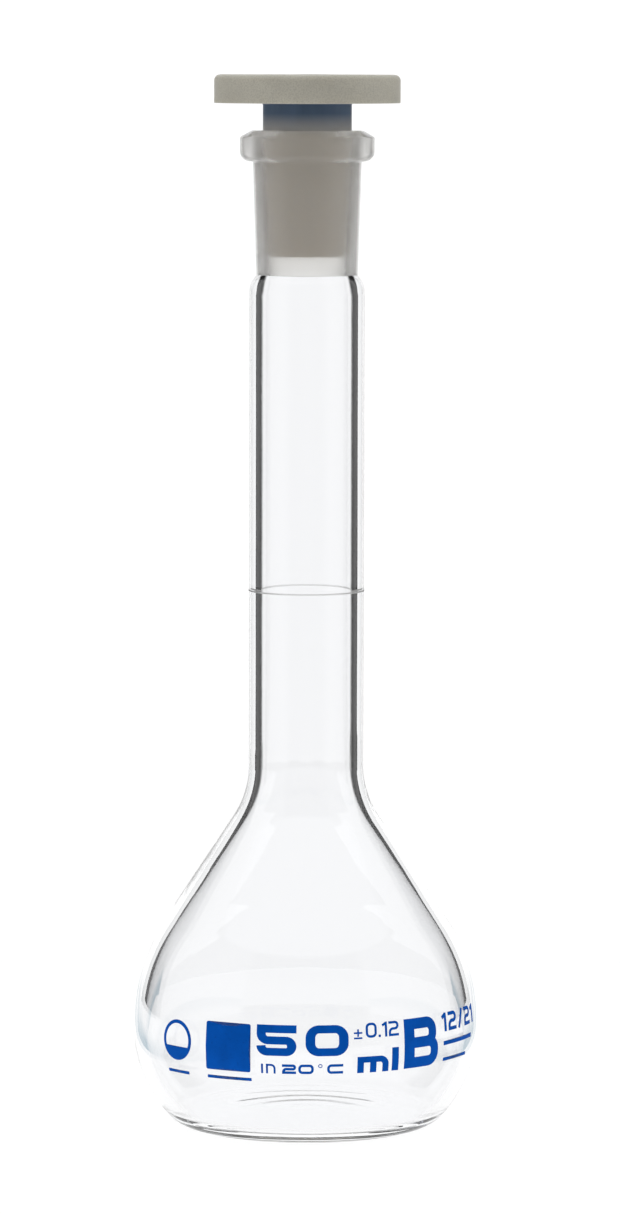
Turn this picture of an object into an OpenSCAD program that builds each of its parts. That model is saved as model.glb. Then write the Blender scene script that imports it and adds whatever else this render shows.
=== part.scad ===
// 50 ml volumetric flask with a ground socket and a push-in plastic stopper.
// The flask stands on z = 0 and turns about the Z axis. The printed side faces -Y.

/* [Flask body] */
// Height of the rim above the surface that the flask stands on
flask_h = 140; // [136:0.5:144]
// Outer diameter of the neck tube
neck_d = 16.2; // [15.8:0.1:17]
// Greatest outer diameter of the bulb
bulb_d = 48.7; // [48:0.1:50]
// Thickness of the blown wall in the neck and the bulb
wall = 1.7; // [1.2:0.1:2]
// Height of the bulb's widest ring
equator_z = 13.8; // [13.2:0.2:14.6]
// Height at which the neck starts to flare into the bulb
flare_z = 50.8; // [49:0.2:53]
// Radius of the hollow curve from the neck into the bulb
flare_r = 12.9; // [10:0.1:15]
// Radius of the bulb's upper curve
crown_r = 28.3; // [26:0.1:30]
// Radius of the bulb's lower curve
bowl_r = 18; // [17.6:0.1:19]

/* [Base] */
// Radius of the outer corner at the foot
foot_r = 5; // [4:0.1:6]
// Radius of the inner corner above the foot
inner_foot_r = 2.5; // [2:0.1:3.5]
// Thickness of the glass above the foot ring
floor_t = 2.3; // [2:0.1:3]
// Width of the flat ring that the flask stands on
foot_ring_w = 2; // [1.5:0.1:3]
// Height of the hollow under the base
push_up_h = 0.8; // [0.5:0.1:1.2]
// Height of the low mound inside the base
mound_h = 0.5; // [0.3:0.1:1]
// Radius of the low mound inside the base
mound_r = 12.5; // [11:0.5:13]

/* [Ground socket] */
// Bore at the rim (conical joint size 12/21)
bore_d = 12.5; // [12:0.1:13]
// Height of the ground cone below the rim
ground_h = 20.1; // [19.8:0.1:21]
// Wall at the lower end of the ground cone
socket_wall = 1.85; // [1.7:0.05:2.1]
// Radius that the outside of the cone gains from its lower end to the bead
socket_flare = 0.5; // [0.3:0.1:0.8]
// Outer diameter of the bead round the mouth
bead_d = 18.8; // [18.4:0.1:20]
// Height of the bead
bead_h = 4.3; // [4:0.1:5]
// Radius of the bead's lower edge
bead_r = 1.4; // [1:0.1:1.6]
// Outer diameter of the flat rim on top of the bead
rim_d = 15.5; // [15.1:0.1:16]
// Depth of the slope from the flat rim to the bead's side
rim_slope_h = 0.9; // [0.6:0.1:1.2]
// Chamfer at the mouth of the bore
mouth_chamfer = 0.3; // [0.2:0.1:0.4]
// Height of the rounded shoulder where the neck draws in to the socket
shoulder_h = 2.3; // [2:0.1:3]
// Height of the same shoulder on the inside
inner_shoulder_h = 3.1; // [2.5:0.1:3.5]

/* [Stopper] */
// Diameter of the flat head
head_d = 26; // [24:0.2:28]
// Thickness of the head
head_t = 4; // [3.5:0.1:5]
// Radius of the head's top edge
head_edge_r = 0.8; // [0.4:0.1:1.2]
// Diameter of the stopper between the rim and the head
stem_d = 12.4; // [12:0.1:12.8]
// Height of the head's underside above the rim
stem_h = 3.8; // [3:0.1:5]
// Length of the plug below the rim
plug_h = 17.5; // [16:0.1:19]
// Thickness of the plug's wall
plug_wall = 1.2; // [1:0.1:1.4]
// Chamfer at the lower end of the plug
plug_chamfer = 0.4; // [0.2:0.1:0.6]
// Gap between plug and bore on each side
fit_gap = 0.05; // [0.04:0.01:0.1]
// Diameter of the colour insert in the hollow stem
insert_d = 9.8; // [9:0.1:10]
// Height of the colour insert
insert_h = 5.6; // [4:0.1:6]
// Height of the insert's lower face above the rim
insert_z = 0.8; // [0.5:0.1:1.5]

/* [Marks] */
// Height of the capacity ring above the base
mark_z = 75.7; // [72:0.1:80]
// Height of the ring's line
mark_w = 0.35; // [0.2:0.05:0.5]
// Thickness of the fired print
enamel_t = 0.03; // [0.02:0.01:0.05]
// Angle that the solid field covers
field_angle = 16; // [12:0.5:18]
// Lower edge of the print
print_z = 11.1; // [10.6:0.1:11.4]
// Height of the solid field
field_h = 6.7; // [6:0.1:7.5]
// Lower edge of the capacity figures
figure_z = 13.7; // [13.3:0.1:14]
// Height of the capacity figures
figure_h = 4.3; // [4:0.1:4.6]
// Height of the unit
unit_h = 3.3; // [3:0.1:3.6]
// Height of the class letter
letter_h = 6.9; // [6.5:0.1:8]
// Gap between the bars that make up a figure
bar_gap = 0.1; // [0.06:0.01:0.2]
// Lift of the print off the glass, which keeps its flat facets clear of the curve
print_lift = 0.003; // [0.002:0.001:0.01]

/* [Hidden] */
$fn = 128;

taper = 0.05;                  // radius lost per millimetre of a 1:10 cone
eps = 0.01;                    // reach of a cut past the face that it opens
overlap = 1;                   // reach of one stretch of the blown outline into the next
facet_h = 0.5;                 // tallest flat facet of the print

neck_r = neck_d / 2;
bulb_r = bulb_d / 2;

// Centres of the arcs that make up the blown outline
flare_c = [neck_r + flare_r, flare_z];
crown_c = [bulb_r - crown_r, equator_z];
bowl_c = [bulb_r - bowl_r, equator_z];

// Slope of the straight stretch between crown and flare: the arcs' common tangent
centres = flare_c - crown_c;
slope = atan2(centres[1], centres[0]) - acos((flare_r + crown_r) / norm(centres));
slope_normal = [cos(slope), sin(slope)];

// Socket heights and radii
socket_z = flask_h - ground_h;
bore_low_r = bore_d / 2 - taper * ground_h;
socket_low_r = bore_low_r + socket_wall;
socket_high_r = socket_low_r + socket_flare;
bead_z = flask_h - bead_h;
inner_neck_r = neck_r - wall;

// Stopper heights
head_z = flask_h + stem_h;
plug_z = flask_h - plug_h;
plug_r = bore_d / 2 - fit_gap;
plug_low_r = plug_r - taper * plug_h;
hollow_low_r = plug_low_r - plug_wall;
insert_low_z = flask_h + insert_z;

// Radius of the arc that leaves a vertical wall and draws in by d over the height h
function draw_in_radius(d, h) = (d * d + h * h) / (2 * d);

// Radius of the sphere whose cap has the radius r and the height h
function cap_radius(r, h) = (r * r + h * h) / (2 * h);

// Centre of the corner arc that blends the bowl, moved in by inset, into a floor
function corner_centre(inset, floor_z, r) =
    let (drop = equator_z - floor_z - r, reach = bowl_r - inset - r)
    [bowl_c[0] + sqrt(reach * reach - drop * drop), floor_z + r];

// Rectangle between two heights, from the axis out to a radius
module band(r, z_low, z_high) {
    translate([0, z_low]) square([r, z_high - z_low]);
}

// Half section of the blown body, moved in by inset, from its floor up to top_z
module blown_section(inset, floor_z, corner_r, top_z) {
    flare_end = flare_c - (flare_r + inset) * slope_normal;
    crown_end = crown_c + (crown_r - inset) * slope_normal;
    corner = corner_centre(inset, floor_z, corner_r);
    to_corner = (corner - bowl_c) / norm(corner - bowl_c);
    corner_top = bowl_c + (bowl_r - inset) * to_corner;

    slope_top = flare_end + overlap * (flare_end - crown_end) / norm(flare_end - crown_end);

    // Each stretch reaches a little way into the next one, inside its outline
    band(neck_r - inset, flare_z - overlap, top_z);
    difference() {
        band(flare_c[0], flare_end[1], flare_z);
        translate(flare_c) circle(flare_r + inset);
    }
    polygon([[0, crown_end[1]], crown_end, slope_top, [0, slope_top[1]]]);
    intersection() {
        translate(crown_c) circle(crown_r - inset);
        band(bulb_d, equator_z, crown_end[1] + overlap);
    }
    intersection() {
        translate(bowl_c) circle(bowl_r - inset);
        band(bulb_d, corner_top[1], equator_z + overlap);
    }
    band(corner[0], floor_z, corner_top[1] + overlap);
    intersection() {
        translate(corner) circle(corner_r);
        band(bulb_d, floor_z, corner_top[1] + overlap);
    }
}

// Half section of a low dome on the axis
module dome_section(r, h, z) {
    sphere_r = cap_radius(r, h);
    intersection() {
        translate([0, z + h - sphere_r]) circle(sphere_r);
        band(r, z, z + h);
    }
}

// Half section of a tube end that draws in from r to r_top over the height h, up to z_top
module drawn_end_section(r, r_top, h, z_top) {
    arc_r = draw_in_radius(r - r_top, h);
    intersection() {
        translate([r - arc_r, z_top - h]) circle(arc_r);
        band(r, z_top - h, z_top);
    }
}

// Blown glass body: bulb, foot and neck tube up to the socket
module bulb_and_neck() {
    foot_r_in = corner_centre(0, 0, foot_r)[0] - foot_ring_w;
    color("lightcyan") rotate_extrude() difference() {
        union() {
            blown_section(0, 0, foot_r, socket_z - shoulder_h);
            drawn_end_section(neck_r, socket_low_r, shoulder_h, socket_z);
        }
        difference() {
            blown_section(wall, floor_t, inner_foot_r, socket_z - inner_shoulder_h);
            dome_section(mound_r, mound_h, floor_t);
        }
        drawn_end_section(inner_neck_r, bore_low_r, inner_shoulder_h, socket_z);
        dome_section(foot_r_in, push_up_h, 0);
    }
}

// Half section of the bead round the mouth
module bead_section() {
    round_c = [bead_d / 2 - bead_r, bead_z + bead_r];
    band(round_c[0], bead_z, flask_h - rim_slope_h);
    translate(round_c) circle(bead_r);
    band(bead_d / 2, round_c[1], flask_h - rim_slope_h);
    polygon([[0, flask_h - rim_slope_h], [bead_d / 2, flask_h - rim_slope_h],
             [rim_d / 2, flask_h], [0, flask_h]]);
}

// Ground conical socket, fused to the neck
module ground_socket() {
    color("whitesmoke") rotate_extrude() difference() {
        union() {
            polygon([[0, socket_z], [socket_low_r, socket_z], [socket_high_r, bead_z],
                     [socket_high_r, bead_z + bead_r], [0, bead_z + bead_r]]);
            bead_section();
        }
        polygon([[0, socket_z - eps], [bore_low_r - taper * eps, socket_z - eps],
                 [bore_d / 2, flask_h], [bore_d / 2, flask_h + eps], [0, flask_h + eps]]);
        polygon([[0, flask_h - mouth_chamfer], [bore_d / 2 - taper * mouth_chamfer, flask_h - mouth_chamfer],
                 [bore_d / 2 + mouth_chamfer, flask_h], [bore_d / 2 + mouth_chamfer, flask_h + eps],
                 [0, flask_h + eps]]);
    }
}

// Fired capacity ring round the neck
module graduation_ring() {
    color("lightgrey") translate([0, 0, mark_z - mark_w / 2]) difference() {
        cylinder(h = mark_w, r = neck_r + enamel_t);
        translate([0, 0, -1]) cylinder(h = mark_w + 2, r = neck_r);
    }
}

// Push-in stopper: flat head, stem and hollow tapered plug in one moulding
module stopper() {
    head_r = head_d / 2;
    color("gainsboro") rotate_extrude() difference() {
        union() {
            band(head_r, head_z, head_z + head_t - head_edge_r);
            band(head_r - head_edge_r, head_z, head_z + head_t);
            translate([head_r - head_edge_r, head_z + head_t - head_edge_r]) circle(head_edge_r);
            band(stem_d / 2, flask_h + insert_z, head_z);
            polygon([[0, plug_z], [plug_low_r - plug_chamfer, plug_z], [plug_low_r, plug_z + plug_chamfer],
                     [plug_r, flask_h], [stem_d / 2, flask_h + insert_z], [0, flask_h + insert_z]]);
        }
        polygon([[0, plug_z - eps], [hollow_low_r, plug_z - eps], [insert_d / 2, flask_h],
                 [insert_d / 2, insert_low_z + insert_h], [0, insert_low_z + insert_h]]);
    }
}

// Coloured core pressed into the hollow stem
module colour_insert() {
    color("steelblue") translate([0, 0, insert_low_z]) cylinder(h = insert_h, d = insert_d);
}

// Outer radius of the bulb at height z, between its foot and its straight shoulder
function bulb_radius(z) =
    z > equator_z ? crown_c[0] + sqrt(crown_r * crown_r - pow(z - equator_z, 2))
                  : bowl_c[0] + sqrt(bowl_r * bowl_r - pow(z - equator_z, 2));

// One printed bar on the bulb: from angle a over the angle w, and from height z over the height h.
// Angles start at the middle of the printed side and grow to the right. The gap comes off all round.
module bar(a, w, z, h) {
    gap_angle = bar_gap / bulb_r * 180 / PI;
    low = z + bar_gap / 2;
    steps = ceil(h / facet_h);
    heights = [for (i = [0 : steps]) low + (h - bar_gap) * i / steps];
    inner = [for (z = heights) [bulb_radius(z) + print_lift, z]];
    outer = [for (i = [steps : -1 : 0]) [bulb_radius(heights[i]) + print_lift + enamel_t, heights[i]]];
    rotate([0, 0, a + gap_angle / 2 - 90])
        rotate_extrude(angle = w - gap_angle) polygon(concat(inner, outer));
}

// Solid blue writing field
module enamel_field() {
    left = -34.5;              // degrees
    color("royalblue") bar(left, field_angle, print_z, field_h);
}

// Capacity in plain bars: five, nought and the unit
module enamel_capacity() {
    row = figure_h / 5;
    unit_row = unit_h / 5;
    // Left edges, widths, strokes and spacing in degrees
    five = -16.1;
    nought = 0;
    unit = 17.1;
    glyph = 13.2;
    stroke = 4;
    leg = 2.5;
    leg_pitch = 4.1;
    leg_h = unit_h / 2;        // millimetres
    color("royalblue") {
        for (i = [0, 2, 4]) bar(five, glyph, figure_z + i * row, row);
        bar(five, stroke, figure_z + 3 * row, row);
        bar(five + glyph - stroke, stroke, figure_z + row, row);
        for (i = [0, 4]) bar(nought, glyph, figure_z + i * row, row);
        for (a = [0, glyph - stroke]) bar(nought + a, stroke, figure_z + row, 3 * row);
        for (i = [0 : 2]) bar(unit + i * leg_pitch, leg, print_z, leg_h);
        bar(unit, 2 * leg_pitch + leg, print_z + leg_h, unit_row);
        bar(unit + 3 * leg_pitch, leg, print_z, unit_h);
    }
}

// Accuracy class letter in plain bars
module enamel_class() {
    row = letter_h / 5;
    // Left edge, width and stroke in degrees
    left = 34.2;
    glyph = 14.8;
    stroke = 4.8;
    color("royalblue") {
        bar(left, stroke, print_z, letter_h);
        for (i = [0, 2, 4]) bar(left + stroke, glyph - stroke, print_z + i * row, row);
        for (i = [1, 3]) bar(left + glyph - stroke, stroke, print_z + i * row, row);
    }
}

bulb_and_neck();
ground_socket();
graduation_ring();
stopper();
colour_insert();
enamel_field();
enamel_capacity();
enamel_class();
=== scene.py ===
"""Looks of a 50 ml volumetric flask: blown glass, ground socket, plastic stopper and fired blue print."""

import math

import bmesh
import bpy
from mathutils import Matrix, Vector
from mathutils.geometry import delaunay_2d_cdt


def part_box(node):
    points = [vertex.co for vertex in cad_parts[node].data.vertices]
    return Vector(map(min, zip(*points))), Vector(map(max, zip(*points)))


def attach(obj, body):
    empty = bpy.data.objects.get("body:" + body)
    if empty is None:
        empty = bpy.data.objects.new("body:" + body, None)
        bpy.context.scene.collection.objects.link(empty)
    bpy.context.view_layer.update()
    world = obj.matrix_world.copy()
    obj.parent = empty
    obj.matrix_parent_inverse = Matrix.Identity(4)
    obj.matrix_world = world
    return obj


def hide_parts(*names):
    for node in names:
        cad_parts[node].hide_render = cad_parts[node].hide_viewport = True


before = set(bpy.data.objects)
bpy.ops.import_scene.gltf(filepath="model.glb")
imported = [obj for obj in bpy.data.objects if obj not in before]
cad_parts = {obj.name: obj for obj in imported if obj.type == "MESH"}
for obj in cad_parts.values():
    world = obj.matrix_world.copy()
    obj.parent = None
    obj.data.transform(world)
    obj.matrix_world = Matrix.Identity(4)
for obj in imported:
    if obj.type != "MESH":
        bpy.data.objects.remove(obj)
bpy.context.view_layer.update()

MM = 0.001
AROUND = 192  # steps round every turned piece
SHARP = math.radians(32)

# Camera: a long lens a little above the stopper's height, tipped down to the base
CAMERA_DISTANCE = 0.7992
CAMERA_HEIGHT = 0.1502
CAMERA_ASIDE = 0.0005
CAMERA_TILT = math.radians(5.5)
CAMERA_ROLL = math.radians(0.11)
LENS = 169.4

# Studio angles round the flask, in degrees from straight behind it
BACK_EDGE = 32
LOW_BACK_EDGE = 29.5
LOW_FLAG_EDGE = 42
FLAG_EDGE = 60
FRONT_EDGE = 135

# Studio sizes. The screens' heights are from the camera's axis
TENT_R = 2.6
TENT_TOP = 2.2
TENT_FOOT = -2.2
LOW_FLAG_TOP = -0.105
FILL_TOP = -0.2
SEAM = 0.006  # overlap of the two backdrops, so that no line shows between them
FLOOR_R = 0.15
FLOOR_DROP = 0.05 * MM
SIDE_CARD_TOP = 0.0145
SIDE_CARD_FOOT = -0.01
SIDE_CARD_FRONT = (0.046, -0.03)
SIDE_CARD_BACK = (0.058, 0.16)
SIDE_CARD_FADE = (3 * MM, 9 * MM)

# Studio light
WHITE = (1, 1, 1)
TENT_COLOUR = (1, 0.99, 0.97)
# Painted shade: the blue-grey of the side cards stands in for the shaded table beside the base
SIDE_CARD_SHADE_COLOUR = (0.5, 0.6, 0.66)
BACKDROP_GLOW = 1.08
LOW_BACKDROP_GLOW = 1.02
TENT_GLOW = 0.62
FILL_GLOW = 0.6
FRONT_GLOW = 0.42
CEILING_GLOW = 0.9
SIDE_CARD_GLOW = 0.97
FLOOR_GLOW = 0.965
FLOOR_GREY = 0.05
ROOM_GLOW = 0.02
BOUNCES = 32  # light turns many times inside the thick foot

# Glass outline, as the boxes of the CAD nodes don't give it
WALL = 1.7 * MM
EQUATOR_Z = 13.8 * MM
FLARE_Z = 50.8 * MM
FLARE_R = 12.9 * MM
CROWN_R = 28.3 * MM
BOWL_R = 18 * MM
FOOT_R = 5 * MM
INNER_FOOT_R = 2.5 * MM
FLOOR_T = 2.3 * MM
FOOT_RING_W = 2 * MM
PUSH_UP_H = 0.8 * MM
MOUND_H = 0.5 * MM
MOUND_R = 12.5 * MM
SHOULDER_H = 2.3 * MM
INNER_SHOULDER_H = 3.1 * MM
SOCKET_WALL = 1.85 * MM
SOCKET_FLARE = 0.5 * MM
TAPER = 0.05
BORE_R = 6.25 * MM
BEAD_H = 4.3 * MM
BEAD_EDGE_R = 1.4 * MM
RIM_R = 7.75 * MM
RIM_SLOPE_H = 0.9 * MM
RIM_EDGE_R = 0.35 * MM
MOUTH_CHAMFER = 0.3 * MM
MOUTH_EDGE_R = 0.12 * MM
BEAD_FOOT_R = 0.25 * MM

# Stopper outline
HEAD_T = 4 * MM
HEAD_EDGE_R = 0.8 * MM
HEAD_WAVE = 0.12 * MM  # how far the top of the head falls away at its low places
UNDER_EDGE_R = 0.12 * MM
STEM_TOP_R = 0.3 * MM
MOULD_R = 0.2 * MM
STEM_R = 6.2 * MM
INSERT_R = 4.9 * MM
PLUG_WALL = 1.2 * MM
PLUG_CHAMFER = 0.4 * MM
FIT_GAP = 0.05 * MM
CORE_GAP = 0.03 * MM
CORE_EDGE_R = 0.3 * MM

# Fired marks
ENAMEL_T = 0.03 * MM
ENAMEL_ROOT = 0.02 * MM
RING_H = 0.22 * MM
PRINT_STEP = 0.5
PRINT_Z = 11.1 * MM
SAME_POINT = 1e-4


# ---------------------------------------------------------------- outlines


def arc(centre, radius, start, end, steps):
    """Points of an arc between two angles in degrees."""
    points = []
    for i in range(steps + 1):
        angle = math.radians(start + (end - start) * i / steps)
        points.append((centre[0] + radius * math.cos(angle), centre[1] + radius * math.sin(angle)))
    return points


def rounded(corners, steps=6):
    """A path through (x, y, radius) corners. Each arc has its radius, or less where there's no room."""
    path = []
    for i, (x, y, radius) in enumerate(corners):
        if radius == 0 or i in (0, len(corners) - 1):
            path.append((x, y))
            continue
        here = Vector((x, y))
        sides = [Vector(corners[k][:2]) - here for k in (i - 1, i + 1)]
        room = min(side.length * (0.5 if corners[k][2] else 1) for side, k in zip(sides, (i - 1, i + 1)))
        before, after = (side.normalized() for side in sides)
        half = before.angle(after) / 2
        tangent = min(radius / math.tan(half), room)
        centre = here + (before + after).normalized() * (tangent / math.cos(half))
        spoke = here + before * tangent - centre
        last = here + after * tangent - centre
        turn = math.atan2(spoke.x * last.y - spoke.y * last.x, spoke.dot(last))
        for k in range(steps + 1):
            spun = Matrix.Rotation(turn * k / steps, 2) @ spoke
            path.append(tuple(centre + spun))
    return path


def bell(radius, base_z, height, steps):
    """A low mound from its rim at radius in to the axis, level at both ends."""
    points = []
    for i in range(steps + 1):
        share = 1 - i / steps
        points.append((radius * share, base_z + height * (1 + math.cos(math.pi * share)) / 2))
    return points


def without_repeats(outline, tags):
    """Drops points that sit on their neighbour, with their tags."""
    points, kept = [outline[0]], []
    for point, tag in zip(outline[1:], tags):
        if math.dist(point, points[-1]) > 1e-6:
            points.append(point)
            kept.append(tag)
    return points, kept


def add_object(name, bm):
    """Makes a scene object of a bmesh, smooth except at its sharp edges."""
    bmesh.ops.recalc_face_normals(bm, faces=bm.faces[:])
    for face in bm.faces:
        face.smooth = True
    for edge in bm.edges:
        if edge.is_manifold and edge.calc_face_angle() > SHARP:
            edge.smooth = False
    mesh = bpy.data.meshes.new(name)
    bm.to_mesh(mesh)
    bm.free()
    piece = bpy.data.objects.new(name, mesh)
    bpy.context.scene.collection.objects.link(piece)
    return piece


def turned(name, outline, tags=None, closed=False):
    """A closed mesh turned round Z from an outline. Tags give each band's material slot."""
    bm = bmesh.new()
    rings = []
    for radius, z in outline:
        if radius < 1e-7:
            rings.append([bm.verts.new((0, 0, z))])
            continue
        ring = []
        for k in range(AROUND):
            angle = 2 * math.pi * k / AROUND
            ring.append(bm.verts.new((radius * math.sin(angle), -radius * math.cos(angle), z)))
        rings.append(ring)
    if closed:
        rings.append(rings[0])
    for i in range(len(rings) - 1):
        low, high = rings[i], rings[i + 1]
        for k in range(AROUND):
            n = (k + 1) % AROUND
            corners = [low[k % len(low)], low[n % len(low)], high[n % len(high)], high[k % len(high)]]
            face = bm.faces.new(list(dict.fromkeys(corners)))
            face.material_index = tags[i] if tags else 0
    return add_object(name, bm)


class Blown:
    """The blown part of the glass, moved in by inset: arcs that share their tangents."""

    def __init__(self, neck_r, bulb_r, inset=0.0, floor_z=0.0, corner_r=FOOT_R):
        self.inset = inset
        self.flare_c = Vector((neck_r + FLARE_R, FLARE_Z))
        self.crown_c = Vector((bulb_r - CROWN_R, EQUATOR_Z))
        self.bowl_c = Vector((bulb_r - BOWL_R, EQUATOR_Z))
        between = self.flare_c - self.crown_c
        reach = math.acos((FLARE_R + CROWN_R) / between.length)
        self.slope = math.degrees(math.atan2(between.y, between.x) - reach)
        drop = EQUATOR_Z - floor_z - corner_r
        across = math.sqrt((BOWL_R - inset - corner_r) ** 2 - drop ** 2)
        self.corner_c = Vector((self.bowl_c.x + across, floor_z + corner_r))
        self.corner_r = corner_r
        self.corner_angle = -math.degrees(math.atan2(drop, across))

    def wall(self):
        """From the corner at the floor up to the start of the neck."""
        return (
            arc(self.corner_c, self.corner_r, -90, self.corner_angle, 12)
            + arc(self.bowl_c, BOWL_R - self.inset, self.corner_angle, 0, 28)[1:]
            + arc(self.crown_c, CROWN_R - self.inset, 0, self.slope, 28)[1:]
            + arc(self.flare_c, FLARE_R + self.inset, 180 + self.slope, 180, 20)
        )

    def radius(self, z):
        """Radius of the crown or the bowl at a height."""
        if z > EQUATOR_Z:
            return self.crown_c.x + math.sqrt(CROWN_R ** 2 - (z - EQUATOR_Z) ** 2)
        return self.bowl_c.x + math.sqrt(BOWL_R ** 2 - (z - EQUATOR_Z) ** 2)


def draw_in(r, r_top, height, z_top, steps):
    """A tube end that leaves the vertical wall r and draws in to r_top."""
    change = r - r_top
    arc_r = (change ** 2 + height ** 2) / (2 * change)
    return arc((r - arc_r, z_top - height), arc_r, 0, math.degrees(math.asin(height / arc_r)), steps)


CLEAR, OUTSIDE, BORE = range(3)


def glass_outline(neck_r, bulb_r, socket_z, rim_z, bead_r):
    """The glass from the middle of its underside, round the rim, to the middle of its floor."""
    outer = Blown(neck_r, bulb_r)
    inner = Blown(neck_r, bulb_r, WALL, FLOOR_T, INNER_FOOT_R)
    ground_h = rim_z - socket_z
    low_bore = BORE_R - TAPER * ground_h
    low_out = low_bore + SOCKET_WALL
    bead_z = rim_z - BEAD_H

    outside = bell(outer.corner_c.x - FOOT_RING_W, 0, PUSH_UP_H, 24)[::-1] + outer.wall()
    outside += draw_in(neck_r, low_out, SHOULDER_H, socket_z, 10)
    socket = rounded([
        (low_out, socket_z, 0),
        (low_out + SOCKET_FLARE, bead_z, BEAD_FOOT_R),
        (bead_r - BEAD_EDGE_R, bead_z, 0),
    ])[1:]
    socket += arc((bead_r - BEAD_EDGE_R, bead_z + BEAD_EDGE_R), BEAD_EDGE_R, -90, 0, 10)
    socket += rounded([
        (bead_r, bead_z + BEAD_EDGE_R, 0),
        (bead_r, rim_z - RIM_SLOPE_H, RIM_EDGE_R),
        (RIM_R, rim_z, RIM_EDGE_R),
        (BORE_R + MOUTH_CHAMFER, rim_z, MOUTH_EDGE_R),
        (BORE_R - TAPER * MOUTH_CHAMFER, rim_z - MOUTH_CHAMFER, 0),
    ])[1:]
    bands = 12
    depths = [ground_h * k / bands for k in range(1, bands + 1)]
    bore = [(BORE_R - TAPER * depth, rim_z - depth) for depth in depths]
    inside = draw_in(neck_r - WALL, low_bore, INNER_SHOULDER_H, socket_z, 12)[::-1][1:]
    inside += inner.wall()[::-1] + bell(MOUND_R, FLOOR_T, MOUND_H, 20)

    tags = [CLEAR] * (len(outside) - 1) + [OUTSIDE] * len(socket)
    tags += [BORE] * len(bore) + [CLEAR] * len(inside)
    return without_repeats(outside + socket + bore + inside, tags)


# ---------------------------------------------------------------- materials


def material(name):
    """A new node material and its Principled shader."""
    mat = bpy.data.materials.new(name)
    mat.use_nodes = True
    return mat, mat.node_tree.nodes["Principled BSDF"]


def node(mat, kind, **values):
    """A new shader node with its inputs set by name."""
    made = mat.node_tree.nodes.new(kind)
    for key, value in values.items():
        made.inputs[key.replace("_", " ")].default_value = value
    return made


def link(mat, a, b):
    mat.node_tree.links.new(a, b)


def place(mat, scale=(1, 1, 1)):
    """The object's own space in metres, stretched by scale."""
    where = mat.node_tree.nodes.new("ShaderNodeTexCoord")
    spread = node(mat, "ShaderNodeMapping", Scale=scale)
    link(mat, where.outputs["Object"], spread.inputs["Vector"])
    return spread.outputs["Vector"]


def noise(mat, scale, detail=4.0, roughness=0.5, stretch=(1, 1, 1)):
    """Noise in the object's own space."""
    made = node(mat, "ShaderNodeTexNoise", Scale=scale, Detail=detail, Roughness=roughness)
    link(mat, place(mat, stretch), made.inputs["Vector"])
    return made.outputs["Fac"]


def spread(mat, source, low, high, to_low, to_high):
    """A value mapped from one range to another and held at its ends."""
    made = node(mat, "ShaderNodeMapRange", From_Min=low, From_Max=high, To_Min=to_low, To_Max=to_high)
    link(mat, source, made.inputs["Value"])
    return made.outputs["Result"]


def blend_colour(mat, share, a, b):
    """Colour a where share is 0 and b where it is 1. Either may be a socket."""
    made = mat.node_tree.nodes.new("ShaderNodeMix")
    made.data_type = "RGBA"
    link(mat, share, made.inputs["Factor"])
    for colour, name in ((a, "A"), (b, "B")):
        socket = [s for s in made.inputs if s.name == name and s.type == "RGBA"][0]
        if isinstance(colour, tuple):
            socket.default_value = (*colour, 1)
        else:
            link(mat, colour, socket)
    return [s for s in made.outputs if s.type == "RGBA"][0]


def mottled(mat, source, a, b):
    """A colour that drifts between a and b with a noise."""
    return blend_colour(mat, spread(mat, source, 0.35, 0.65, 0, 1), a, b)


def bump(mat, shader, heights):
    """Relief from (height, strength, distance) layers, one on another."""
    normal = None
    for height, strength, distance in heights:
        made = node(mat, "ShaderNodeBump", Strength=strength, Distance=distance)
        link(mat, height, made.inputs["Height"])
        if normal:
            link(mat, normal, made.inputs["Normal"])
        normal = made.outputs["Normal"]
    link(mat, normal, shader.inputs["Normal"])


def glass(name, colour, roughness):
    mat, shader = material(name)
    shader.inputs["Base Color"].default_value = (*colour, 1)
    shader.inputs["Roughness"].default_value = roughness
    shader.inputs["IOR"].default_value = 1.473
    shader.inputs["Transmission Weight"].default_value = 1.0
    return mat, shader


def clear_glass():
    """Blown borosilicate glass: slightly uneven along the drawn tube and round the mould-blown bulb."""
    mat, shader = glass("clear_glass", (0.96, 0.964, 0.972), 0.0)
    drawn = noise(mat, 260.0, 1.0, 0.4, (1, 1, 0.12))
    blown = noise(mat, 90.0, 1.0, 0.4)
    bump(mat, shader, [(drawn, 0.02, 0.0004), (blown, 0.03, 0.0008)])
    return mat


def frosted_outside():
    """The outside of the socket: satin glass with a faint haze."""
    mat, shader = glass("socket_outside", (0.995, 0.992, 0.98), 0.16)
    shader.inputs["Transmission Weight"].default_value = 0.93
    haze = noise(mat, 1500.0, 2.0)
    bump(mat, shader, [(haze, 0.12, 0.00003)])
    return mat


def ground_bore():
    """The ground cone: an even matt surface with fine turned grooves."""
    mat, shader = glass("socket_bore", (0.995, 0.99, 0.975), 0.4)
    shader.inputs["Transmission Weight"].default_value = 0.88
    grain = noise(mat, 3500.0, 3.0)
    grooves = noise(mat, 900.0, 2.0, 0.6, (0.01, 0.01, 1))
    link(mat, spread(mat, grooves, 0.3, 0.7, 0.34, 0.48), shader.inputs["Roughness"])
    bump(mat, shader, [(grooves, 0.3, 0.00006), (grain, 0.3, 0.00003)])
    return mat


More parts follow.
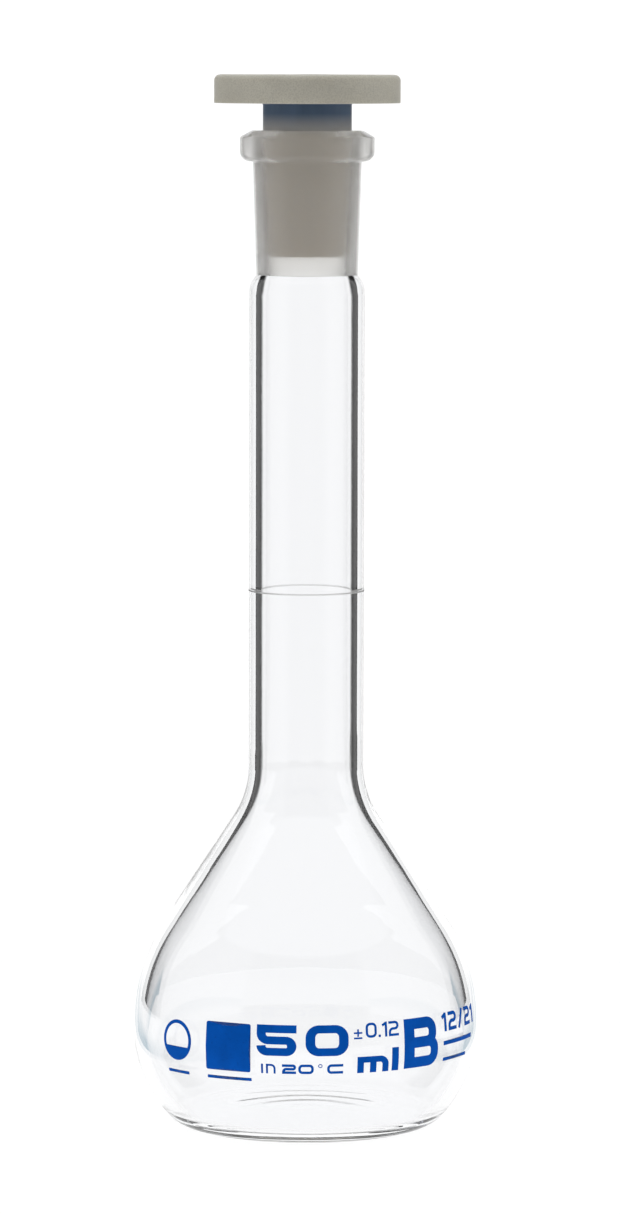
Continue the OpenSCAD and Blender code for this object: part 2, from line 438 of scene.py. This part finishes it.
def natural_plastic(stem_low, stem_high):
    """Translucent polyethylene. The blue core is painted onto the stem's colour: partly the core seen
    through the wall, partly painted shade from the head, darkest just under the head and greyer lower
    down.
    """
    mat, shader = material("natural_plastic")
    cloud = noise(mat, 160.0, 3.0)
    grain = noise(mat, 2600.0, 3.0)
    speck = noise(mat, 5000.0, 1.0, 0.5)
    body = mottled(mat, cloud, (0.58, 0.56, 0.485), (0.66, 0.64, 0.555))
    body = blend_colour(mat, spread(mat, speck, 0.4, 0.7, 0, 0.35), body, (0.34, 0.325, 0.28))
    where = node(mat, "ShaderNodeSeparateXYZ")
    link(mat, place(mat), where.inputs["Vector"])
    height = where.outputs["Z"]
    in_plug = spread(mat, height, stem_low - 1.5 * MM, stem_low, 1, 0)
    body = blend_colour(mat, in_plug, body, (0.74, 0.675, 0.59))
    streak = noise(mat, 420.0, 2.0, 0.5, (1, 1, 0.2))
    # Painted shade: the stem's blue is darkest just under the head and fades to grey towards the rim, on
    # top of the core's own blue.
    core = blend_colour(mat, spread(mat, streak, 0.3, 0.7, 0, 1), (0.06, 0.11, 0.19), (0.085, 0.145, 0.25))
    painted_shade_fade = spread(mat, height, stem_low + 0.4 * MM, stem_low + 2.4 * MM, 1, 0)
    core = blend_colour(mat, painted_shade_fade, core, (0.36, 0.36, 0.37))
    on_stem = node(mat, "ShaderNodeMath")
    on_stem.operation = "MULTIPLY"
    link(mat, spread(mat, height, stem_low - 0.6 * MM, stem_low + 0.2 * MM, 0, 1), on_stem.inputs[0])
    link(mat, spread(mat, height, stem_high - 0.14 * MM, stem_high - 0.02 * MM, 1, 0), on_stem.inputs[1])
    body = blend_colour(mat, on_stem.outputs[0], body, core)
    link(mat, body, shader.inputs["Base Color"])
    link(mat, spread(mat, cloud, 0.3, 0.7, 0.42, 0.58), shader.inputs["Roughness"])
    shader.inputs["IOR"].default_value = 1.5
    shader.inputs["Subsurface Weight"].default_value = 0.35
    shader.inputs["Subsurface Radius"].default_value = (1.0, 0.9, 0.7)
    shader.inputs["Subsurface Scale"].default_value = 0.0015
    bump(mat, shader, [(cloud, 0.15, 0.0003), (grain, 0.25, 0.00004)])
    return mat


def blue_plastic():
    """Coloured polyethylene of the core."""
    mat, shader = material("blue_plastic")
    cloud = noise(mat, 300.0, 3.0)
    colour = mottled(mat, cloud, (0.03, 0.09, 0.25), (0.045, 0.12, 0.32))
    link(mat, colour, shader.inputs["Base Color"])
    shader.inputs["Roughness"].default_value = 0.45
    bump(mat, shader, [(noise(mat, 2500.0), 0.2, 0.00004)])
    return mat


def ring_line():
    """The capacity line: a fine frosted line in the glass."""
    mat, shader = glass("ring_line", (0.9, 0.9, 0.89), 0.5)
    grain = noise(mat, 4000.0, 2.0)
    bump(mat, shader, [(grain, 0.3, 0.00002)])
    return mat


def blue_enamel():
    """Fired screen print: even blue with slight clouds, pinholes and a fine glassy grain."""
    mat, shader = material("blue_enamel")
    cloud = noise(mat, 330.0, 4.0, 0.6)
    grain = noise(mat, 2600.0, 2.0)
    colour = mottled(mat, cloud, (0.0005, 0.084, 0.44), (0.001, 0.1, 0.52))
    colour = blend_colour(mat, spread(mat, grain, 0.6, 0.75, 0, 0.5), colour, (0.001, 0.055, 0.3))
    link(mat, colour, shader.inputs["Base Color"])
    link(mat, spread(mat, cloud, 0.3, 0.7, 0.38, 0.55), shader.inputs["Roughness"])
    shader.inputs["Specular IOR Level"].default_value = 0.03
    bump(mat, shader, [(cloud, 0.1, 0.0001), (grain, 0.2, 0.00002)])
    return mat


# ---------------------------------------------------------------- studio


def glow(name, colour, strength):
    """A plain glowing surface."""
    mat = bpy.data.materials.new(name)
    mat.use_nodes = True
    nodes = mat.node_tree.nodes
    nodes.clear()
    out = nodes.new("ShaderNodeOutputMaterial")
    emit = nodes.new("ShaderNodeEmission")
    emit.inputs["Color"].default_value = (*colour, 1)
    emit.inputs["Strength"].default_value = strength
    mat.node_tree.links.new(emit.outputs[0], out.inputs["Surface"])
    return mat


def fading_glow(name, colour, strength, low, high):
    """A glowing surface that fades from its colour at one height to white at another."""
    mat = glow(name, WHITE, strength)
    where = node(mat, "ShaderNodeSeparateXYZ")
    link(mat, place(mat), where.inputs["Vector"])
    share = spread(mat, where.outputs["Z"], low, high, 0, 1)
    emit = mat.node_tree.nodes["Emission"]
    link(mat, blend_colour(mat, share, colour, WHITE), emit.inputs["Color"])
    return mat


def stand_in_room(piece, mat, camera=None):
    """Gives a studio surface its finish. With a camera it turns with every view."""
    piece.data.materials.append(mat)
    if camera:
        piece.parent = camera


def screen(name, camera, start, end, mat, foot=TENT_FOOT, top=TENT_TOP):
    """An upright curved screen round the flask between two angles from straight behind it."""
    bm = bmesh.new()
    steps = max(2, round((end - start) / 5))
    columns = []
    for k in range(steps + 1):
        angle = math.radians(start + (end - start) * k / steps)
        x = TENT_R * math.sin(angle)
        z = -CAMERA_DISTANCE - TENT_R * math.cos(angle)
        columns.append((bm.verts.new((x, foot, z)), bm.verts.new((x, top, z))))
    for (a, b), (c, d) in zip(columns, columns[1:]):
        bm.faces.new((a, c, d, b))
    stand_in_room(add_object(name, bm), mat, camera)


def ceiling(name, camera, mat):
    """A round soft ceiling over the flask."""
    bm = bmesh.new()
    bmesh.ops.create_circle(bm, cap_ends=True, segments=72, radius=TENT_R)
    turn = Matrix.Translation((0, TENT_TOP, -CAMERA_DISTANCE)) @ Matrix.Rotation(math.pi / 2, 4, "X")
    bmesh.ops.transform(bm, matrix=turn, verts=bm.verts)
    stand_in_room(add_object(name, bm), mat, camera)


def painted_shade_cards(camera, mat):
    """Low pale blue glowing cards on the table at both sides: painted shade, standing in for the shaded
    table near the base, which draws the edges of the lower bulb.
    """
    bpy.context.view_layer.update()
    for name, side in (("side_card_left", -1), ("side_card_right", 1)):
        bm = bmesh.new()
        feet = [bm.verts.new((side * x, y, SIDE_CARD_FOOT)) for x, y in (SIDE_CARD_FRONT, SIDE_CARD_BACK)]
        tops = [bm.verts.new((side * x, y, SIDE_CARD_TOP)) for x, y in (SIDE_CARD_FRONT, SIDE_CARD_BACK)]
        bm.faces.new([*feet, tops[1], tops[0]])
        card = add_object(name, bm)
        stand_in_room(card, mat, camera)
        card.matrix_parent_inverse = camera.matrix_world.inverted()


def floor():
    """A pale round table top, bright enough to meet the backdrop without an edge."""
    bm = bmesh.new()
    bmesh.ops.create_circle(bm, cap_ends=True, segments=96, radius=FLOOR_R)
    bmesh.ops.translate(bm, vec=(0, 0, -FLOOR_DROP), verts=bm.verts)
    mat, shader = material("floor_pale")
    shader.inputs["Base Color"].default_value = (FLOOR_GREY, FLOOR_GREY, FLOOR_GREY, 1)
    shader.inputs["Roughness"].default_value = 0.8
    shader.inputs["Emission Color"].default_value = (*WHITE, 1)
    shader.inputs["Emission Strength"].default_value = FLOOR_GLOW
    stand_in_room(add_object("floor", bm), mat)


def make_camera():
    scene = bpy.context.scene
    data = bpy.data.cameras.new("camera")
    data.lens = LENS
    data.sensor_width = 36.0
    camera = bpy.data.objects.new("camera", data)
    scene.collection.objects.link(camera)
    camera.location = (CAMERA_ASIDE, -CAMERA_DISTANCE, CAMERA_HEIGHT)
    aim = Matrix.Rotation(math.pi / 2 - CAMERA_TILT, 3, "X") @ Matrix.Rotation(CAMERA_ROLL, 3, "Z")
    camera.rotation_euler = aim.to_euler()
    scene.camera = camera
    return camera


def studio(camera):
    """Bright field light: a white backdrop, dark gaps beside it, a soft tent in front and above."""
    scene = bpy.context.scene
    low_white = glow("backdrop_glow", WHITE, LOW_BACKDROP_GLOW)
    white = glow("backdrop_bright", WHITE, BACKDROP_GLOW)
    screen("backdrop", camera, -BACK_EDGE, BACK_EDGE, white, foot=LOW_FLAG_TOP)
    screen("backdrop_low", camera, -LOW_BACK_EDGE, LOW_BACK_EDGE, low_white, top=LOW_FLAG_TOP + SEAM)
    tent = glow("tent_glow", TENT_COLOUR, TENT_GLOW)
    fill = glow("low_fill_glow", TENT_COLOUR, FILL_GLOW)
    front = glow("tent_front_glow", TENT_COLOUR, FRONT_GLOW)
    screen("tent_right", camera, FLAG_EDGE, FRONT_EDGE, tent)
    screen("tent_left", camera, -FRONT_EDGE, -FLAG_EDGE, tent)
    screen("tent_front", camera, FRONT_EDGE, 360 - FRONT_EDGE, front)
    screen("low_fill_right", camera, LOW_FLAG_EDGE, FLAG_EDGE, fill, top=FILL_TOP)
    screen("low_fill_left", camera, -FLAG_EDGE, -LOW_FLAG_EDGE, fill, top=FILL_TOP)
    ceiling("ceiling", camera, glow("ceiling_glow", WHITE, CEILING_GLOW))
    # Painted shade: blue-grey cards in place of the shaded table beside the base
    painted_shade_cards(camera, fading_glow("side_card_shade_glow", SIDE_CARD_SHADE_COLOUR, SIDE_CARD_GLOW, *SIDE_CARD_FADE))
    floor()
    world = bpy.data.worlds.new("world")
    world.use_nodes = True
    room = world.node_tree.nodes["Background"]
    room.inputs["Strength"].default_value = ROOM_GLOW
    room.inputs["Color"].default_value = (*WHITE, 1)
    scene.world = world
    scene.view_settings.view_transform = "Standard"
    scene.cycles.max_bounces = BOUNCES
    scene.cycles.glossy_bounces = BOUNCES
    scene.cycles.transmission_bounces = BOUNCES


# ---------------------------------------------------------------- print


def pen_path(corners, closed, step):
    """Points along a pen stroke, no further apart than step. Corners are (x, y, radius)."""
    if closed:
        first, last = Vector(corners[0][:2]), Vector(corners[-1][:2])
        middle = (*((first + last) / 2), 0)
        corners = [middle, *corners, middle]
    path = rounded(corners, 8)
    points = [path[0]]
    for a, b in zip(path, path[1:]):
        if math.dist(a, b) < SAME_POINT:
            continue
        pieces = math.ceil(math.dist(a, b) / step)
        for k in range(1, pieces + 1):
            points.append(tuple(Vector(a).lerp(Vector(b), k / pieces)))
    return points[:-1] if closed else points


def stroke(corners, width, height, closed=False):
    """A pen stroke as four-sided patches. The pen is width across and height up."""
    points = [Vector(p) for p in pen_path(corners, closed, PRINT_STEP)]
    count = len(points)
    sides = []
    for i, here in enumerate(points):
        before = points[i - 1] if closed or i else here
        after = points[(i + 1) % count] if closed or i < count - 1 else here
        come, go = (here - before), (after - here)
        come = come.normalized() if come.length else go.normalized()
        go = go.normalized() if go.length else come
        along = (come + go).normalized()
        mitre = 1 / max(0.5, along.dot(come))
        out = Vector((-along.y * width / 2, along.x * height / 2)) * mitre
        sides.append((here + out, here - out))
    last = count if closed else count - 1
    patches = []
    for i in range(last):
        (a, b), (c, d) = sides[i], sides[(i + 1) % count]
        patches.append([a, b, d, c])
    return patches


def glyph(char, x, y, w, h, pen_w, pen_h, bend=0.24):
    """Patches of one plain geometric figure in the box x, y, w, h."""
    left, right = x + pen_w / 2, x + w - pen_w / 2
    low, high, mid = y + pen_h / 2, y + h - pen_h / 2, y + h / 2
    r = bend * min(w, h)
    top, bottom = y + h, y
    strokes = {
        "0": [([(left, low, r), (right, low, r), (right, high, r), (left, high, r)], True)],
        "1": [([(right, bottom, 0), (right, top, 0)], False),
              ([(right, high, 0), (x, high - 0.3 * (top - mid), 0)], False)],
        "2": [([(x, high, 0), (right, high, r), (right, mid, r), (left, mid, r),
                (left, low, 0), (x + w, low, 0)], False)],
        "5": [([(x + w, high, 0), (left, high, 0), (left, mid, 0.8 * r), (right, mid, r), (right, low, r),
                (left, low, 0.8 * r), (left, low + 0.2 * h, 0)], False)],
        "C": [([(x + w, high, 0), (left, high, r), (left, low, r), (x + w, low, 0)], False)],
        "l": [([(left, bottom, 0), (left, top, 0)], False)],
        "n": [([(left, bottom, 0), (left, high, 0), (right, high, 1.2 * r), (right, bottom, 0)], False)],
        "m": [([(left, bottom, 0), (left, high, 0), (right, high, 1.2 * r), (right, bottom, 0)], False),
              ([((left + right) / 2, bottom, 0), ((left + right) / 2, high, 0)], False)],
        "+": [([(x, mid + 0.12 * h, 0), (x + w, mid + 0.12 * h, 0)], False),
              ([(x + w / 2, top, 0), (x + w / 2, y + 0.24 * h, 0)], False),
              ([(x, low, 0), (x + w, low, 0)], False)],
        "/": [([(left, bottom, 0), (right, top, 0)], False)],
        ".": [([(left, bottom, 0), (left, bottom + pen_h, 0)], False)],
    }
    patches = []
    for corners, closed in strokes[char]:
        patches += stroke(corners, pen_w, pen_h, closed)
    return patches


def class_letter(x, y, w, h):
    """A heavy B: a thick stem and two bowls that share their middle bar."""
    pen = 1.5
    stem = 1.75
    waist = 0.35
    mid = y + 0.51 * h
    low, high = y + pen / 2, y + h - pen / 2
    left, right = x + pen / 2, x + w - pen / 2
    r = 1.15
    patches = stroke([(x + stem / 2, y, 0), (x + stem / 2, y + h, 0)], stem, stem)
    patches += stroke([(left, mid, 0), (right - waist, mid, r), (right - waist, high, r), (left, high, 0)],
                      pen, pen, True)
    patches += stroke([(left, low, 0), (right, low, r), (right, mid, r), (left, mid, 0)], pen, pen, True)
    return patches


def plain_block(x, y, w, h, r):
    """A filled block with rounded corners."""
    middle = (x, y + h / 2, 0)
    corners = [middle, (x, y, r), (x + w, y, r), (x + w, y + h, r), (x, y + h, r), middle]
    return [[Vector(p) for p in rounded(corners)[:-1]]]


def emblem(x, y, size):
    """A plain level mark: a ring with its lower part filled."""
    pen = 0.5
    steps = 48
    level = 20  # degrees below the middle, at both ends of the fill
    r = size / 2
    centre = (x + r, y + r)
    ring = [Vector(p) for p in arc(centre, r, 0, 360, steps)[:-1]]
    hole = [Vector(p) for p in arc(centre, r - pen, 0, 360, steps)[:-1]]
    patches = [[ring[i], ring[(i + 1) % steps], hole[(i + 1) % steps], hole[i]] for i in range(steps)]
    patches.append([Vector(p) for p in arc(centre, r - pen / 2, 180 + level, 360 - level, steps // 2)])
    return patches


def signed_area(ring):
    return sum(a.x * b.y - b.x * a.y for a, b in zip(ring, ring[1:] + ring[:1])) / 2


def inside(point, ring):
    """Whether a point lies within a closed outline."""
    odd = False
    for a, b in zip(ring, ring[1:] + ring[:1]):
        if (a.y > point.y) != (b.y > point.y):
            odd ^= point.x < a.x + (b.x - a.x) * (point.y - a.y) / (b.y - a.y)
    return odd


def tiled(patches):
    """Joins patches into one flat sheet of small triangles."""
    points, faces = [], []
    for patch in patches:
        ring = patch if signed_area(patch) > 0 else patch[::-1]
        faces.append(list(range(len(points), len(points) + len(ring))))
        points += ring
    low = [min(p[i] for p in points) for i in (0, 1)]
    high = [max(p[i] for p in points) for i in (0, 1)]
    across = math.ceil((high[0] - low[0]) / PRINT_STEP)
    up = math.ceil((high[1] - low[1]) / PRINT_STEP)
    aside, above = 0.37, 0.41  # parts of a step that keep the inner points off the figures' own lines
    inner = [Vector((low[0] + (i + aside) * PRINT_STEP, low[1] + (j + above) * PRINT_STEP))
             for i in range(across) for j in range(up)]
    verts, _, tris, _, _, _ = delaunay_2d_cdt(points + inner, [], faces, 1, SAME_POINT)
    middles = [sum((verts[v] for v in tri), Vector((0, 0))) / len(tri) for tri in tris]
    kept = [tri for tri, middle in zip(tris, middles) if any(inside(middle, patch) for patch in patches)]
    return verts, kept


def rim_of(tris):
    """The edges that only one triangle has, each in that triangle's direction."""
    edges = {(a, b) for tri in tris for a, b in zip(tri, tri[1:] + tri[:1])}
    return sorted((a, b) for a, b in edges if (b, a) not in edges)


def printed(name, patches, glass_shape):
    """Lays patches on the bulb, in millimetres along its widest ring and up from the print's foot."""
    verts, tris = tiled(patches)
    used = sorted({v for tri in tris for v in tri})
    bulb_r = glass_shape.bowl_c.x + BOWL_R
    bm = bmesh.new()
    layers = []
    for lift in (-ENAMEL_ROOT, ENAMEL_T):
        layer = {}
        for v in used:
            angle = verts[v].x * MM / bulb_r
            z = PRINT_Z + verts[v].y * MM
            radius = glass_shape.radius(z) + lift
            layer[v] = bm.verts.new((radius * math.sin(angle), -radius * math.cos(angle), z))
        layers.append(layer)
    root, top = layers
    for tri in tris:
        bm.faces.new([top[v] for v in tri])
        bm.faces.new([root[v] for v in reversed(tri)])
    for a, b in rim_of(tris):
        bm.faces.new((root[a], root[b], top[b], top[a]))
    return add_object(name, bm)


def capacity_print():
    """The capacity and its unit."""
    return (
        glyph("5", -6.85, 2.5, 5.6, 4.25, 1.3, 1.1, 0.28)
        + glyph("0", 0, 2.5, 6, 4.25, 1.35, 1.1, 0.28)
        + glyph("m", 7.27, -0.05, 4.7, 2.28, 0.95, 0.85, 0.3)
        + glyph("l", 12.5, -0.05, 1.06, 3.27, 1.06, 1)
    )


def row_of_glyphs(text, x, y, h, pen, gap, widths):
    """Thin figures side by side."""
    patches = []
    for char in text:
        patches += glyph(char, x, y, widths[char], h, pen, pen, 0.3)
        x += widths[char] + gap
    return patches


def notes_print():
    """Tolerance, reference temperature and joint size, and plain lines in place of words."""
    thin = 0.34
    patches = glyph("+", 6.78, 4.7, 1.2, 1.35, 0.24, 0.24)
    widths = {"0": 1.65, ".": thin, "1": 0.75, "2": 1.6}
    patches += row_of_glyphs("0.12", 8.5, 4.8, 2.05, thin, 0.26, widths)
    for char, x, w, pen in (("l", -6.2, 0.28, 0.28), ("n", -5.5, 1.35, 0.28), ("2", -3.25, 1.95, 0.36),
                            ("0", -1.0, 2.15, 0.36), ("C", 3.0, 2.25, 0.36)):
        patches += glyph(char, x, 0, w, 1.35, pen, pen, 0.3)
    patches += glyph("0", 1.75, 0.85, 0.6, 0.55, 0.12, 0.12, 0.5)
    patches += row_of_glyphs("12/21", 21.9, 4.35, 2.6, 0.5, 0.5, {"1": 1.0, "2": 2.1, "/": 1.6})
    lines = ((22.1, 2.43, 8.4, 0.6), (22.1, 0.2, 6.4, 0.5),
             (-14.55, -1.25, 6.9, 0.45), (-22.2, -1.25, 4.3, 0.45))
    for x, y, w, h in lines:
        patches += plain_block(x, y, w, h, 0.1)
    return patches + emblem(-22.9, 0.6, 5.65)


# ---------------------------------------------------------------- pieces


def finish_piece(piece, body, slot, replaced, *mats):
    """Gives a piece its finish and its body, and hides the CAD nodes that it stands for."""
    for mat in mats:
        piece.data.materials.append(mat)
    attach(piece, body)
    if replaced:
        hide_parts(*replaced)


def make_glass(neck_r, bulb_r):
    """One continuous glass body: the socket is fused to the neck, so no face crosses the seam."""
    socket_low, socket_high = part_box("ground_socket")
    outline, tags = glass_outline(neck_r, bulb_r, socket_low.z, socket_high.z, socket_high.x)
    piece = turned("flask_glass", outline, tags)
    finish_piece(piece, "flask", "clear_glass", ["bulb_and_neck", "ground_socket"],
                 clear_glass(), frosted_outside(), ground_bore())


def make_ring(neck_r):
    """The fine capacity line round the neck."""
    low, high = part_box("graduation_ring")
    middle = (low.z + high.z) / 2
    outline = rounded([
        (neck_r - ENAMEL_ROOT, middle - RING_H / 2, 0),
        (neck_r + ENAMEL_T, middle - RING_H / 2, ENAMEL_T / 2),
        (neck_r + ENAMEL_T, middle + RING_H / 2, ENAMEL_T / 2),
        (neck_r - ENAMEL_ROOT, middle + RING_H / 2, 0),
    ])
    piece = turned("capacity_line", outline, closed=True)
    finish_piece(piece, "flask", "ring_enamel", ["graduation_ring"], ring_line())


def uneven_top(piece, high):
    """Lets the top of the head fall away a little, unevenly round it and most at its edge."""
    for vertex in piece.data.vertices:
        if vertex.co.z > high.z - HEAD_EDGE_R:
            angle = math.atan2(vertex.co.y, vertex.co.x)
            reach = min(1.0, vertex.co.xy.length / high.x)
            wave = 0.5 + 0.3 * math.sin(3 * angle + 0.6) + 0.2 * math.sin(7 * angle)
            vertex.co.z -= HEAD_WAVE * wave * reach


def make_stopper(rim_z):
    """Head, stem and hollow plug in one moulding, and the blue core in its stem."""
    low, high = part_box("stopper")
    core_low, core_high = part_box("colour_insert")
    under = high.z - HEAD_T
    plug_r = BORE_R - FIT_GAP
    plug_low_r = plug_r - TAPER * (rim_z - low.z)
    hollow_low_r = plug_low_r - PLUG_WALL
    outline = [(0, high.z)] + rounded([
        (6 * MM, high.z, 0),
        (high.x, high.z, HEAD_EDGE_R),
        (high.x, under, UNDER_EDGE_R),
        (STEM_R, under, STEM_TOP_R),
        (STEM_R, core_low.z, MOULD_R),
        (plug_r, rim_z, MOULD_R),
        (plug_low_r, low.z + PLUG_CHAMFER, MOULD_R),
        (plug_low_r - PLUG_CHAMFER, low.z, MOULD_R),
        (hollow_low_r, low.z, MOULD_R),
        (INSERT_R, rim_z, MOULD_R),
        (INSERT_R, core_high.z, 0),
    ]) + [(0, core_high.z)]
    stopper = turned("stopper_moulding", outline)
    uneven_top(stopper, high)
    finish_piece(stopper, "stopper_unit", "natural_plastic", ["stopper"], natural_plastic(rim_z, under))
    make_core(core_low, core_high)


def make_core(low, high):
    """The blue core, a short rod with rounded ends."""
    core_r = INSERT_R - CORE_GAP
    top = high.z - CORE_GAP
    core = turned("blue_core", [(0, low.z)] + rounded([
        (core_r - 1 * MM, low.z, 0),
        (core_r, low.z, CORE_EDGE_R),
        (core_r, top, CORE_EDGE_R),
        (core_r - 1 * MM, top, 0),
    ]) + [(0, top)])
    finish_piece(core, "stopper_unit", "blue_plastic", ["colour_insert"], blue_plastic())


def make_print(glass_shape):
    """The fired print on the front of the bulb."""
    blue = blue_enamel()
    jobs = (
        ("print_field", plain_block(-14.65, 0, 6.9, 6.7, 0.3), ["enamel_field"]),
        ("print_capacity", capacity_print(), ["enamel_capacity"]),
        ("print_class", class_letter(14.52, 0, 6.3, 6.9), ["enamel_class"]),
        ("print_notes", notes_print(), []),
    )
    for name, patches, replaced in jobs:
        finish_piece(printed(name, patches, glass_shape), "flask", "blue_enamel", replaced, blue)


def build():
    bulb_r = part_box("bulb_and_neck")[1].x
    neck_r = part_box("graduation_ring")[1].x - ENAMEL_T
    rim_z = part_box("ground_socket")[1].z
    studio(make_camera())
    make_glass(neck_r, bulb_r)
    make_ring(neck_r)
    make_stopper(rim_z)
    make_print(Blown(neck_r, bulb_r))


build()
